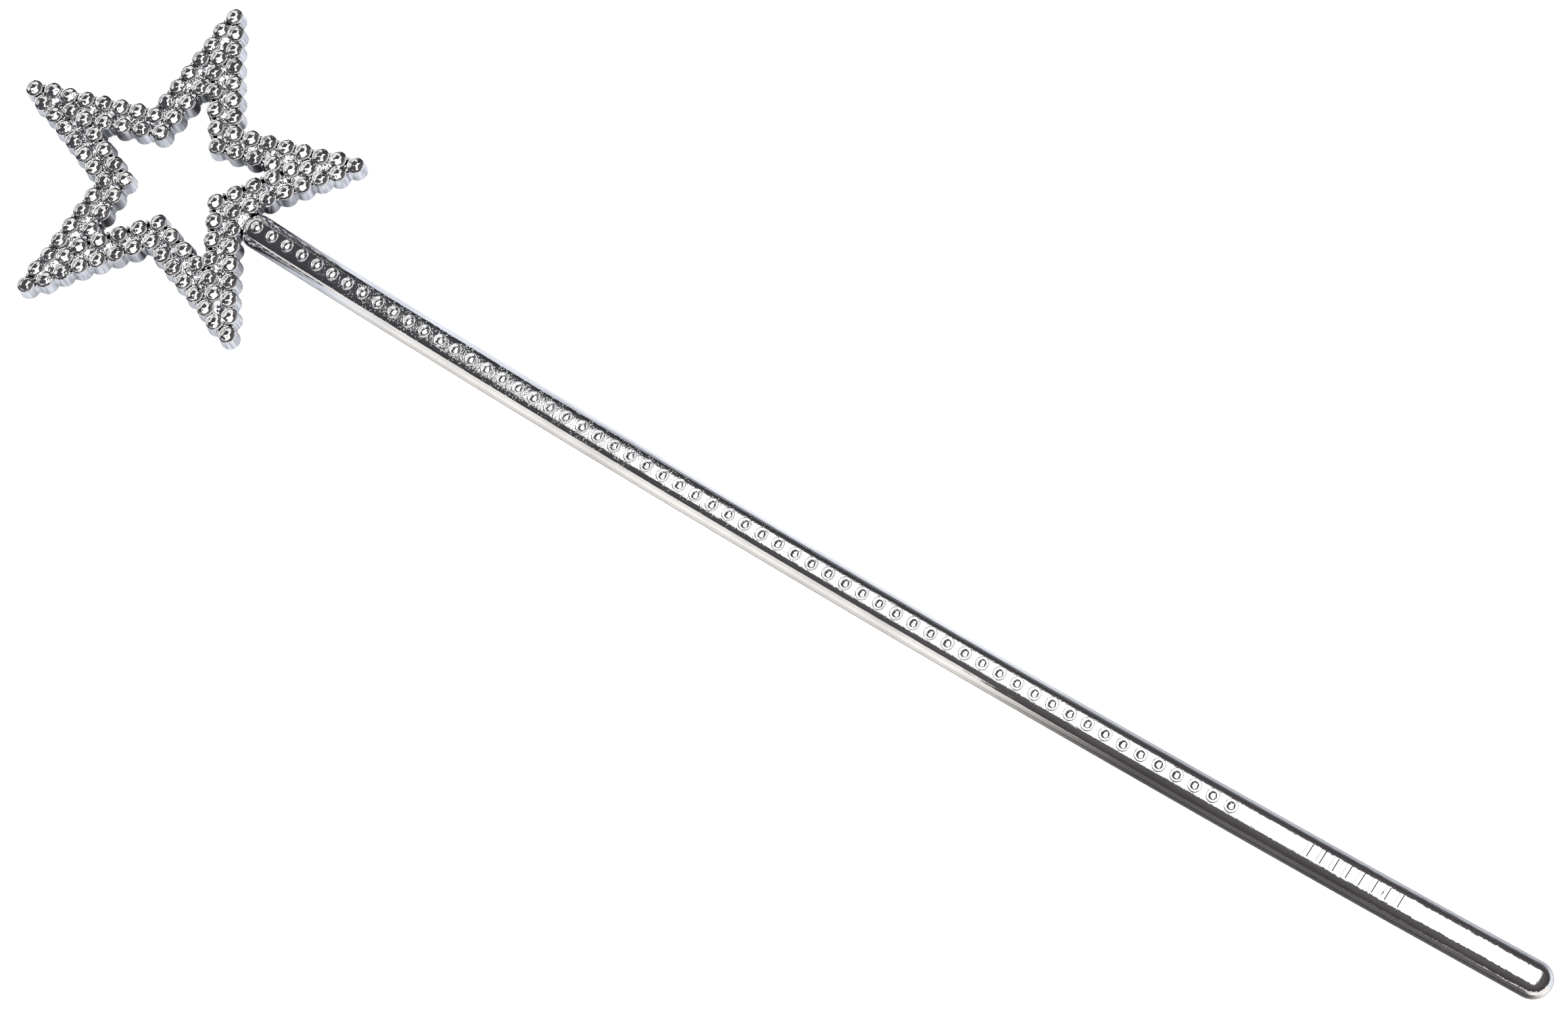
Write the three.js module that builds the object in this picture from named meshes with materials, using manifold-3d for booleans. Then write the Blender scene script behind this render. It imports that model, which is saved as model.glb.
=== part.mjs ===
// A toy fairy wand: an open five-pointed star head, edged with two rows of moulded studs,
// on a long round rod that carries one row of small studs along its front.
//
// Four plastic mouldings make it:
//   star_front  the thick studded frame, with a rebate behind it and a tongue on one notch
//   star_back   the thin strip that closes the rebate, held by a peg in each arm
//   rod_front   the upper half-round shell of the rod, with the row of studs
//   rod_back    the lower half-round shell, whose pegs line up the two halves
// The tongue runs into the rod through a slot in its rounded end, and one peg locks it there.
// The rounded end is scooped out to nest against the three studs at the notch.
//
// Millimetres, +Z up. The wand lies on its back with the studs up and the rod along +X.

import * as THREE from 'three';
import { mergeVertices } from 'three/addons/utils/BufferGeometryUtils.js';
import Module from 'manifold-3d';

// ---------------------------------------------------------------- star head, driving sizes

const armCount = 5;
const starTipRadius = 36.9; // star centre to the middle of the stud on a tip
const starNotchRadius = 14.7; // star centre to the middle of the stud in an outer notch
const openingTipRadius = 23.8; // star centre to the stud where an arm's two inner rows meet
const openingNotchRadius = 10.4; // star centre to the stud on an inner corner
const fillStudRadius = 27.3; // star centre to the single stud that fills each arm
const outerSteps = 7; // stud spacings from a tip to an outer notch
const tipPairOffset = 0.35; // how far the two studs beside a tip stand out of the straight row
const innerSteps = 4; // stud spacings from an inner corner to the meeting stud

const barrelFootRadius = 2.05; // a stud's barrel where it meets the flat back
const barrelRimRadius = 1.8; // and at its rim, after the mould's draft
const barrelHeight = 3.2; // flat back to rim
const domeRadius = 1.5;
const domeHeight = 0.6;
const webTop = 2.0; // flat back to the plain web between the barrels

const rebateDepth = 1.3; // room behind the web for the back strip
const rebateInset = 0.3; // stud line to the side of the rebate

// ---------------------------------------------------------------- rod, driving sizes

const rodLength = 294.0;
const rodStarRadius = 3.55; // the rod thickens a little from the star to the handle
const rodHandleRadius = 3.75;
const rodWall = 1.2;
const rodEndWall = 3.0; // thicker wall of the star end, which the tongue's slot runs through
const rodSweep = 8.5; // sideways bow of the handle end, from the line of the star's arm
const sweepStations = 18; // straight lengths that follow the bow

const rodStudCount = 60;
const rodStudPitch = 3.8;
const rodStudInset = 4.1; // star end of the rod to the first stud
const rodStudRadius = 1.2;
const rodStudStand = 0.1; // rim of a rod stud above the rod's top line
const rodDomeHeight = 0.25;

const tongueWidth = 3.0;
const tongueThickness = 1.45;
const tongueReach = 12.5; // length of tongue inside the rod
const ribCount = 6;
const ribThickness = 3.2;

// ---------------------------------------------------------------- pegs and clearances

const pegRadius = 0.6;
const pegLength = 1.0; // how far a peg stands into its socket
const clearance = 0.3; // between mouldings that touch or fit together
const overrun = 1.0; // how far a cutter reaches past what it cuts

// ---------------------------------------------------------------- roundness of the solids

const barrelSides = 8;
const rodStudSides = 6;
const rodSides = 16;
const boreSides = 8;
const endSteps = 4; // steps round each domed rod end
const pegSides = 6;

// ---------------------------------------------------------------- sizes that follow

const halfArm = Math.PI / armCount;
const quarterTurn = Math.PI / 2;
const stripTop = rebateDepth - clearance;
const socketRadius = pegRadius + clearance;
const socketDepth = pegLength + clearance;

// The star's flat back is level with the rod's middle, where the front shell ends.
const frontFloor = 0;
const backCeiling = frontFloor - clearance;

// The rod's round end nests against the stud in the notch and the one on each side of it.
const rodStart = starNotchRadius + barrelFootRadius + clearance;
const rodEnd = rodStart + rodLength;
const tongueEnd = rodStart + tongueReach;
const tonguePegX = tongueEnd - tongueWidth / 2;
const tongueTop = frontFloor + tongueThickness;
const lockTop = tongueTop + clearance; // the back shell's lock peg ends just above the tongue

const headReach = starTipRadius + barrelFootRadius;

const wasm = await Module();
wasm.setup();

// ---------------------------------------------------------------- geometry helpers

/** A ten-cornered star outline, moved inwards by inset (outwards if it is negative). */
function starCorners(tipRadius, notchRadius, inset) {
  const span = Math.sqrt(
    tipRadius ** 2 + notchRadius ** 2 - 2 * tipRadius * notchRadius * Math.cos(halfArm),
  );
  const tipSine = (notchRadius * Math.sin(halfArm)) / span;
  const notchSine = (tipRadius * Math.sin(halfArm)) / span;
  const tip = tipRadius - inset / tipSine;
  const notch = notchRadius - inset / notchSine;
  const corners = [];
  for (let i = 0; i < armCount; i += 1) {
    const notchAngle = 2 * i * halfArm;
    corners.push(polar(notch, notchAngle));
    corners.push(polar(tip, notchAngle + halfArm));
  }
  return corners;
}

function polar(radius, angle) {
  return new THREE.Vector2(radius * Math.cos(angle), radius * Math.sin(angle));
}

/** A three.js geometry as a manifold solid, with its shared corners merged. */
function solid(geometry) {
  geometry.deleteAttribute('normal');
  geometry.deleteAttribute('uv');
  const merged = mergeVertices(geometry, 1e-4);
  const corners = merged.index.array;
  const triVerts = [];
  for (let i = 0; i < corners.length; i += 3) {
    const [a, b, c] = corners.slice(i, i + 3);
    const flat = a === b || b === c || c === a;
    if (!flat) {
      triVerts.push(a, b, c);
    }
  }
  const mesh = new wasm.Mesh({
    numProp: 3,
    vertProperties: new Float32Array(merged.attributes.position.array),
    triVerts: new Uint32Array(triVerts),
  });
  return new wasm.Manifold(mesh);
}

function block(low, high) {
  const size = new THREE.Vector3().subVectors(high, low);
  const middle = new THREE.Vector3().addVectors(low, high).multiplyScalar(0.5);
  const geometry = new THREE.BoxGeometry(size.x, size.y, size.z);
  geometry.translate(middle.x, middle.y, middle.z);
  return solid(geometry);
}

/** An upright round peg, or the cutter for its socket. */
function upright(radius, x, y, low, high) {
  const geometry = new THREE.CylinderGeometry(radius, radius, high - low, pegSides);
  geometry.rotateX(Math.PI / 2);
  geometry.translate(x, y, (low + high) / 2);
  return solid(geometry);
}

/** A solid turned about an upright axis, from points given as (radius, height). */
function turned(points, sides) {
  const geometry = new THREE.LatheGeometry(points, sides);
  geometry.rotateX(Math.PI / 2);
  return solid(geometry);
}

function plate(outline, hole, low, high) {
  const shape = new THREE.Shape(outline);
  shape.holes.push(new THREE.Path(hole));
  const geometry = new THREE.ExtrudeGeometry(shape, { depth: high - low, bevelEnabled: false });
  geometry.translate(0, 0, low);
  return solid(geometry);
}

/** Sideways place of the rod's middle line, which bows more towards the handle end. */
function sweepAt(x) {
  const along = Math.max(0, x - rodStart) / rodLength;
  return rodSweep * along ** 2;
}

/** Radius of the rod's outside, which grows evenly along it. */
function rodRadiusAt(x) {
  return rodStarRadius + ((rodHandleRadius - rodStarRadius) * (x - rodStart)) / rodLength;
}

/** A round-ended bar on the rod's bowed middle line, inset from the rod's outside. */
function bowedBar(inset, start, end, sides) {
  const startRadius = rodRadiusAt(start) - inset;
  const endRadius = rodRadiusAt(end) - inset;
  const points = [];
  for (let i = 0; i <= endSteps; i += 1) {
    const angle = (i / endSteps) * (Math.PI / 2);
    const along = start + startRadius * (1 - Math.cos(angle));
    points.push(new THREE.Vector2(startRadius * Math.sin(angle), along));
  }
  const straight = end - start - startRadius - endRadius;
  for (let i = 1; i < sweepStations; i += 1) {
    const share = i / sweepStations;
    const radius = startRadius + (endRadius - startRadius) * share;
    points.push(new THREE.Vector2(radius, start + startRadius + straight * share));
  }
  for (let i = endSteps; i >= 0; i -= 1) {
    const angle = (i / endSteps) * (Math.PI / 2);
    const along = end - endRadius * (1 - Math.cos(angle));
    points.push(new THREE.Vector2(endRadius * Math.sin(angle), along));
  }
  const halfSide = Math.PI / sides;
  const toCorners = 1 / Math.cos(halfSide);
  const geometry = new THREE.LatheGeometry(points, sides, halfSide);
  geometry.scale(toCorners, 1, toCorners);
  geometry.rotateZ(-Math.PI / 2);
  const place = geometry.attributes.position;
  for (let i = 0; i < place.count; i += 1) {
    place.setY(i, place.getY(i) + sweepAt(place.getX(i)));
  }
  return solid(geometry);
}

// ---------------------------------------------------------------- star head

/** Every stud's place on the star, one arm after another. */
function starStudPlaces() {
  const places = [];
  for (let arm = 0; arm < armCount; arm += 1) {
    const notchAngle = 2 * arm * halfArm;
    const tipAngle = notchAngle + halfArm;
    const nextNotchAngle = notchAngle + 2 * halfArm;
    const tip = polar(starTipRadius, tipAngle);
    const meeting = polar(openingTipRadius, tipAngle);
    places.push(tip, meeting, polar(fillStudRadius, tipAngle));
    places.push(polar(starNotchRadius, notchAngle), polar(openingNotchRadius, notchAngle));
    for (const angle of [notchAngle, nextNotchAngle]) {
      const outerNotch = polar(starNotchRadius, angle);
      const outwards = angle < tipAngle ? -quarterTurn : quarterTurn;
      const besideTip = polar(tipPairOffset, tipAngle + outwards);
      for (let i = 1; i < outerSteps; i += 1) {
        const place = tip.clone().lerp(outerNotch, i / outerSteps);
        places.push(i === 1 ? place.add(besideTip) : place);
      }
      const innerNotch = polar(openingNotchRadius, angle);
      for (let i = 1; i < innerSteps; i += 1) {
        places.push(innerNotch.clone().lerp(meeting, i / innerSteps));
      }
    }
  }
  return places;
}

/** Middle of the solid end of each arm, where a peg of the back strip goes. */
function armPegPlaces() {
  const places = [];
  for (let arm = 0; arm < armCount; arm += 1) {
    places.push(polar(fillStudRadius, (2 * arm + 1) * halfArm));
  }
  return places;
}

function makeStarFront() {
  const stud = turned(
    [
      new THREE.Vector2(0, 0),
      new THREE.Vector2(barrelFootRadius, 0),
      new THREE.Vector2(barrelRimRadius, barrelHeight),
      new THREE.Vector2(domeRadius, barrelHeight),
      new THREE.Vector2(0, barrelHeight + domeHeight),
    ],
    barrelSides,
  );
  let front = plate(
    starCorners(starTipRadius, starNotchRadius, 0),
    starCorners(openingTipRadius, openingNotchRadius, 0),
    0,
    webTop,
  );
  for (const place of starStudPlaces()) {
    front = front.add(stud.translate([place.x, place.y, 0]));
  }
  const tongue = block(
    new THREE.Vector3(starNotchRadius, -tongueWidth / 2, frontFloor),
    new THREE.Vector3(tongueEnd, tongueWidth / 2, tongueTop),
  );
  front = front.add(tongue);
  front = front.subtract(
    plate(
      starCorners(starTipRadius, starNotchRadius, rebateInset),
      starCorners(openingTipRadius, openingNotchRadius, -rebateInset),
      -overrun,
      rebateDepth,
    ),
  );
  for (const place of armPegPlaces()) {
    const socketTop = stripTop + socketDepth;
    front = front.subtract(upright(socketRadius, place.x, place.y, 0, socketTop));
  }
  return front.subtract(upright(socketRadius, tonguePegX, 0, -overrun, webTop));
}

function makeStarBack() {
  const inset = rebateInset + clearance;
  let strip = plate(
    starCorners(starTipRadius, starNotchRadius, inset),
    starCorners(openingTipRadius, openingNotchRadius, -inset),
    0,
    stripTop,
  );
  for (const place of armPegPlaces()) {
    strip = strip.add(upright(pegRadius, place.x, place.y, 0, stripTop + pegLength));
  }
  return strip;
}

// ---------------------------------------------------------------- rod

/** Middles of the cross ribs that stiffen the shells and carry the aligning pegs. */
function ribPlaces() {
  const first = tongueEnd + 2 * ribThickness;
  const last = rodEnd - rodHandleRadius - ribThickness;
  const places = [];
  for (let i = 0; i < ribCount; i += 1) {
    places.push(first + ((last - first) * i) / (ribCount - 1));
  }
  return places;
}

function makeRodTube() {
  let hollow = bowedBar(rodWall, rodStart + rodEndWall, rodEnd - rodWall, boreSides);
  for (const x of ribPlaces()) {
    const side = sweepAt(x);
    const rib = block(
      new THREE.Vector3(x - ribThickness / 2, side - rodHandleRadius, -rodHandleRadius),
      new THREE.Vector3(x + ribThickness / 2, side + rodHandleRadius, rodHandleRadius),
    );
    hollow = hollow.subtract(rib);
  }
  return bowedBar(0, rodStart, rodEnd, rodSides).subtract(hollow);
}

/** The space round the rod between two heights. */
function layer(low, high) {
  const reach = rodHandleRadius + rodSweep + overrun;
  return block(
    new THREE.Vector3(rodStart - overrun, -reach, low),
    new THREE.Vector3(rodEnd + overrun, reach, high),
  );
}

/** Height of the rod's top line, which falls away over the round ends. */
function crownAt(x) {
  const radius = rodRadiusAt(x);
  const fromEnd = Math.min(x - rodStart, rodEnd - x);
  const intoDome = Math.max(0, radius - fromEnd);
  return Math.sqrt(radius ** 2 - intoDome ** 2);
}

/** Middles of the three studs that the rod's star end nests against. */
function nestingStudPlaces() {
  const notch = polar(starNotchRadius, 0);
  const places = [notch];
  for (const side of [-1, 1]) {
    places.push(notch.clone().lerp(polar(starTipRadius, side * halfArm), 1 / outerSteps));
  }
  return places;
}

function makeRodFront(tube) {
  const top = rodHandleRadius + overrun;
  let shell = tube.intersect(layer(frontFloor, top));
  const slot = block(
    new THREE.Vector3(rodStart - overrun, -tongueWidth / 2 - clearance, -overrun),
    new THREE.Vector3(tongueEnd + clearance, tongueWidth / 2 + clearance, tongueTop + clearance),
  );
  shell = shell.subtract(slot);
  // Where the front shell's roof is low, as in a thin rod, the lock peg needs a socket in it.
  const lockRoom = lockTop + clearance;
  shell = shell.subtract(
    upright(socketRadius, tonguePegX, sweepAt(tonguePegX), -overrun, lockRoom),
  );
  const scoop = turned(
    [
      new THREE.Vector2(0, -overrun),
      new THREE.Vector2(barrelFootRadius + clearance, -overrun),
      new THREE.Vector2(barrelFootRadius + clearance, top),
      new THREE.Vector2(0, top),
    ],
    barrelSides,
  );
  for (const place of nestingStudPlaces()) {
    shell = shell.subtract(scoop.translate([place.x, place.y, 0]));
  }
  for (const x of ribPlaces()) {
    const socketTop = backCeiling + socketDepth;
    shell = shell.subtract(upright(socketRadius, x, sweepAt(x), -overrun, socketTop));
  }
  const root = rodWall / 2;
  const stud = turned(
    [
      new THREE.Vector2(0, -root),
      new THREE.Vector2(rodStudRadius, -root),
      new THREE.Vector2(rodStudRadius, rodStudStand),
      new THREE.Vector2(0, rodStudStand + rodDomeHeight),
    ],
    rodStudSides,
  );
  for (let i = 0; i < rodStudCount; i += 1) {
    const x = rodStart + rodStudInset + i * rodStudPitch;
    shell = shell.add(stud.translate([x, sweepAt(x), crownAt(x)]));
  }
  return shell;
}

function makeRodBack(tube) {
  let shell = tube.intersect(layer(-rodHandleRadius - overrun, backCeiling));
  for (const x of ribPlaces()) {
    const root = -rodRadiusAt(x) / 2;
    shell = shell.add(upright(pegRadius, x, sweepAt(x), root, backCeiling + pegLength));
  }
  const lockRoot = -rodRadiusAt(tonguePegX) + rodWall / 2;
  return shell.add(upright(pegRadius, tonguePegX, sweepAt(tonguePegX), lockRoot, lockTop));
}

// ---------------------------------------------------------------- assembly

function platedMesh(name, shape, material) {
  const mesh = shape.getMesh();
  const geometry = new THREE.BufferGeometry();
  geometry.setAttribute('position', new THREE.BufferAttribute(mesh.vertProperties, 3));
  geometry.setIndex(new THREE.BufferAttribute(mesh.triVerts, 1));
  geometry.computeVertexNormals();
  const piece = new THREE.Mesh(geometry, material);
  piece.name = name;
  return piece;
}

const platedFront = { color: 0xd5d8de, roughness: 0.1, metalness: 1.0 };
const platedBack = { color: 0xb9bdc6, roughness: 0.18, metalness: 1.0 };

const rodTube = makeRodTube();
const wand = new THREE.Group();
wand.add(platedMesh('star_front', makeStarFront(), new THREE.MeshStandardMaterial(platedFront)));
wand.add(platedMesh('star_back', makeStarBack(), new THREE.MeshStandardMaterial(platedBack)));
wand.add(platedMesh('rod_front', makeRodFront(rodTube), new THREE.MeshStandardMaterial(platedFront)));
wand.add(platedMesh('rod_back', makeRodBack(rodTube), new THREE.MeshStandardMaterial(platedBack)));

// The origin is under the middle of the whole wand, level with the lowest line of the rod.
wand.position.set((headReach - rodEnd) / 2, 0, rodHandleRadius);

export default wand;
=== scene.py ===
# %% [markdown]
# # A silver toy fairy wand
# The wand is four plastic mouldings, all metallised: the studded star, the strip that closes the
# star's back, and the two halves of the long rod. The CAD model already fixes every size, so it is
# loaded first, and each detailed piece is then built exactly where its CAD node lies.

import math

import bmesh
import bpy
from mathutils import Matrix, Vector


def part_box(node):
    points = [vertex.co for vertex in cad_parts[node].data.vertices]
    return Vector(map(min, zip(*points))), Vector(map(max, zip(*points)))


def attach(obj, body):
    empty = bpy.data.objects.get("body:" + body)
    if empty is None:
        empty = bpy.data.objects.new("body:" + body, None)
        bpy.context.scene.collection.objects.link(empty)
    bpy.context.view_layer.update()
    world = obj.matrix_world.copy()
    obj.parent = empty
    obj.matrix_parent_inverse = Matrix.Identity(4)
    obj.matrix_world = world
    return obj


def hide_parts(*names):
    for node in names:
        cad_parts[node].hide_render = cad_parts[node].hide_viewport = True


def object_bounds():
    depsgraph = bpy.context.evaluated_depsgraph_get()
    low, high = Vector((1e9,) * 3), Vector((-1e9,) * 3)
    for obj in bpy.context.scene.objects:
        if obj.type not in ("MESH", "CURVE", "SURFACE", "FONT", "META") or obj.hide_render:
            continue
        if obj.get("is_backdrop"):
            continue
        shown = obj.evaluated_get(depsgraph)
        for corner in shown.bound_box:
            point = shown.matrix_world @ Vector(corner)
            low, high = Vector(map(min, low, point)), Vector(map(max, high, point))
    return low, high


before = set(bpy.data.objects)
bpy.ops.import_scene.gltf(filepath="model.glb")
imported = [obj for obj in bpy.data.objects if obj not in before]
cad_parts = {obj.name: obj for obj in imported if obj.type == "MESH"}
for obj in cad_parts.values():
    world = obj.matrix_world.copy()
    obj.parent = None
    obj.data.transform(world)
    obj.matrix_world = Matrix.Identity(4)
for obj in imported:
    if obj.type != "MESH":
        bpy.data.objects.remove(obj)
cad_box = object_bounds()
MM = 0.001
print("CAD nodes:", sorted(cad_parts))

# %% [markdown]
# ## Where things are
# The wand lies on its back with the studs up and its handle towards positive x. The star's middle,
# its flat back and both ends of the rod could be typed in, but reading them off the boxes of the CAD
# nodes keeps this script in step with the CAD.

# %% Places taken from the CAD
star_low, star_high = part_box("star_front")
rod_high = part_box("rod_front")[1]
BARREL_FOOT = 2.05 * MM
STAR_TIP = 36.9 * MM
ROD_LENGTH = 294.0 * MM
flat_back = star_low.z
star_middle = Vector((star_low.x + STAR_TIP + BARREL_FOOT, (star_low.y + star_high.y) / 2, flat_back))
rod_end = rod_high.x
rod_start = rod_end - ROD_LENGTH
print(f"star middle at x = {star_middle.x / MM:.2f} mm; rod from x = {rod_start / MM:.2f} mm")

# %% [markdown]
# ## Turned shapes
# Almost everything on the wand is round: studs, bezels, posts and cutters. A lathe does them all:
# an outline of radii and heights becomes a stack of rings, and the rings are closed into one shell.
# Building the rings with bmesh, and not from a ready-made cylinder, leaves every edge under control.


# %% Helpers for making shapes
def rings_to_shell(shape, rings):
    """Closes a stack of rings, each a list of points, into one shell with flat ends."""
    loops = [[shape.verts.new(point) for point in ring] for ring in rings]
    for lower, upper in zip(loops, loops[1:]):
        for i, corner in enumerate(lower):
            after = (i + 1) % len(lower)
            shape.faces.new((corner, lower[after], upper[after], upper[i]))
    shape.faces.new(list(reversed(loops[0])))
    shape.faces.new(loops[-1])


def turned(shape, outline, middle, sides):
    """Turns an outline of (radius, height) pairs round the upright line through middle."""
    angles = [2 * math.pi * i / sides for i in range(sides)]
    rings = []
    for radius, height in outline:
        round_middle = [(radius * math.cos(a), radius * math.sin(a), height) for a in angles]
        rings.append([middle + Vector(place) for place in round_middle])
    rings_to_shell(shape, rings)


def in_metres(outline):
    """The same outline, from millimetres to Blender's metres."""
    return [(radius * MM, height * MM) for radius, height in outline]


def as_object(shape, name):
    """Puts a bmesh into the scene as a mesh object."""
    bmesh.ops.recalc_face_normals(shape, faces=shape.faces)
    mesh = bpy.data.meshes.new(name)
    shape.to_mesh(mesh)
    shape.free()
    made = bpy.data.objects.new(name, mesh)
    bpy.context.scene.collection.objects.link(made)
    return made


# %% [markdown]
# ## Joining and cutting
# A moulding is one skin, so its studs have to be joined to it and not only stand in it. Blender's
# Manifold boolean does that quickly and keeps every body closed. The modifier is applied at once,
# because the next boolean should start from a finished mesh.


# %% Helpers for joining shapes
def apply_modifiers(piece):
    """Replaces a piece's mesh by what its modifiers make of it."""
    ready = piece.evaluated_get(bpy.context.evaluated_depsgraph_get())
    finished = bpy.data.meshes.new_from_object(ready)
    piece.modifiers.clear()
    piece.data = finished


def combine(piece, other, operation):
    """Joins other to piece (UNION) or cuts it away (DIFFERENCE), and removes it."""
    step = piece.modifiers.new("combine", "BOOLEAN")
    step.object = other
    step.operation = operation
    step.solver = "MANIFOLD"
    apply_modifiers(piece)
    bpy.data.objects.remove(other)


# %% [markdown]
# ## Where the studs sit
# The star is drawn in studs: seven even steps from each tip down to the notch beside it, an inner
# row of four steps that borders the opening, and one stud that fills each arm. Working the places
# out from a few radii is shorter and safer than a list of a hundred positions.

# %% Stud places on the star
ARMS = 5
HALF_ARM = math.pi / ARMS
STAR_NOTCH = 14.7 * MM
OPENING_TIP = 23.8 * MM
OPENING_NOTCH = 10.4 * MM
FILL_STUD = 27.3 * MM
OUTER_STEPS = 7
INNER_STEPS = 4
TIP_PAIR_OFFSET = 0.35 * MM


def polar(radius, angle):
    return Vector((radius * math.cos(angle), radius * math.sin(angle), 0))


def star_stud_places():
    """Every stud's place round the star's middle, one arm after another."""
    places = []
    for arm in range(ARMS):
        notch_angle = 2 * arm * HALF_ARM
        tip_angle = notch_angle + HALF_ARM
        tip, meeting = polar(STAR_TIP, tip_angle), polar(OPENING_TIP, tip_angle)
        places += [tip, meeting, polar(FILL_STUD, tip_angle)]
        places += [polar(STAR_NOTCH, notch_angle), polar(OPENING_NOTCH, notch_angle)]
        for side in (-1, 1):
            outer = polar(STAR_NOTCH, tip_angle + side * HALF_ARM)
            inner = polar(OPENING_NOTCH, tip_angle + side * HALF_ARM)
            row = [tip.lerp(outer, i / OUTER_STEPS) for i in range(1, OUTER_STEPS)]
            row[0] += polar(TIP_PAIR_OFFSET, tip_angle + side * math.pi / 2)
            places += row
            places += [inner.lerp(meeting, i / INNER_STEPS) for i in range(1, INNER_STEPS)]
    return places


stud_places = star_stud_places()
print(len(stud_places), "studs on the star")

# %% [markdown]
# ## The barrel of a stud
# A stud is a slightly tapered barrel, so that it leaves the mould, with a rolled rim and a shallow
# groove inside the rim where the stone starts. Its outline is a few listed points, in millimetres
# from the stud's middle line and from the star's flat back.

# %% The stud's outline
BARREL_SIDES = 40
BARREL_OUTLINE = [
    (2.05, 0.0), (1.83, 2.86), (1.822, 2.98), (1.8, 3.08), (1.765, 3.15), (1.72, 3.19),
    (1.67, 3.2), (1.62, 3.185), (1.585, 3.14), (1.565, 3.07), (1.56, 2.8),
]
print("a barrel is", BARREL_OUTLINE[0][0] * 2, "mm wide at its foot")

# %% [markdown]
# ## Grinding a stone
# The stone on top of a stud imitates cut glass. It could be modelled facet by facet, but a
# stonecutter's way is easier: turn a domed blank, then grind flats on it. Each flat is a slice
# through the mesh with the gap filled. A flat is given by its direction round the stone and its
# slope from level, both in degrees, and its width in millimetres.

# %% Turn and grind a stone
STONE_SIDES = 32
DOME_STEPS = 8


def grind_flat(shape, point, normal):
    """Cuts away what lies beyond a plane and closes the cut with one flat face."""
    everything = shape.verts[:] + shape.edges[:] + shape.faces[:]
    cut = bmesh.ops.bisect_plane(
        shape, geom=everything, plane_co=point, plane_no=normal, clear_outer=True
    )
    rim = [part for part in cut["geom_cut"] if isinstance(part, bmesh.types.BMEdge)]
    if rim:
        bmesh.ops.edgeloop_fill(shape, edges=rim)


def ground_stone(name, radius, seat, shoulder, top, flats):
    """A domed blank from seat up to top with flats ground on its dome; a mesh to copy from."""
    rise = top - shoulder
    ball = (radius**2 + rise**2) / (2 * rise)
    spread = math.asin(radius / ball)
    outline = [(radius, seat)]
    for i in range(DOME_STEPS, 0, -1):
        angle = spread * i / DOME_STEPS
        outline.append((ball * math.sin(angle), top - ball * (1 - math.cos(angle))))
    shape = bmesh.new()
    turned(shape, in_metres(outline), Vector((0, 0, 0)), STONE_SIDES)
    ball_middle = Vector((0, 0, (top - ball) * MM))
    for direction, slope, width in flats:
        turn, tilt = math.radians(direction), math.radians(slope)
        level = math.sin(tilt)
        normal = Vector((level * math.cos(turn), level * math.sin(turn), math.cos(tilt)))
        depth = math.sqrt(ball**2 - (width / 2) ** 2) * MM
        grind_flat(shape, ball_middle + normal * depth, normal)
    bmesh.ops.recalc_face_normals(shape, faces=shape.faces)
    stone = bpy.data.meshes.new(name)
    shape.to_mesh(stone)
    shape.free()
    return stone


# %% [markdown]
# ## The star's stone
# A nearly level table on top stays dark, since nothing bright hangs over the star. The flats round
# it lean towards the lamp and the cards, so each lights up as one clean wedge.

# %% Grind the star's stone
STONE_SHOULDER = 3.1
STAR_STONE_FLATS = [
    (180, 4, 1.1), (96, 29, 1.15), (180, 27, 1.1), (-60, 24, 1.25),
    (22, 41, 1.4), (-8, 15, 0.55), (130, 47, 1.0), (235, 34, 0.9),
]
star_stone = ground_stone("star_stone", 1.5, 2.6, STONE_SHOULDER, 3.79, STAR_STONE_FLATS)
print(len(star_stone.polygons), "faces in a star stone")

# %% [markdown]
# ## Copying a stone
# One stone serves every stud, but no two stones of a moulding sit quite alike. Each copy is turned
# and leans a little. The amounts come from multiples of the golden ratio, which look random yet are
# the same on every run.

# %% Copy a stone to a stud
GOLDEN = 0.61803399
STONE_TURN = 14
STONE_LEAN = 2.5


def variation(index, salt):
    """A fixed number from -1 to 1 that looks random from one stud to the next."""
    return math.fmod((index + 1) * GOLDEN * (salt + 1.7) + salt * 0.37, 1.0) * 2 - 1


def add_stone(shape, stone, middle, level, index):
    """Copies a stone to a stud, turned and leaning a little differently from its neighbours."""
    lift = Matrix.Translation((0, 0, level))
    lean = Matrix.Rotation(math.radians(STONE_LEAN * variation(index, 2)), 4, "X")
    lean = lean @ Matrix.Rotation(math.radians(STONE_LEAN * variation(index, 3)), 4, "Y")
    turn = Matrix.Rotation(math.radians(STONE_TURN * variation(index, 1)), 4, "Z")
    before = len(shape.verts)
    shape.from_mesh(stone)
    shape.verts.ensure_lookup_table()
    place = Matrix.Translation(middle) @ lift @ lean @ turn @ lift.inverted()
    bmesh.ops.transform(shape, matrix=place, verts=shape.verts[before:])


# %% [markdown]
# ## The star's outlines
# The web between the two rows of studs is a thin star with a star-shaped opening. Its outlines are
# worked out from a tip and a notch radius. Moving the sides inwards by an inset moves the corners
# further than that, by the inset over the sine of the angle between the side and the radius.


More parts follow.
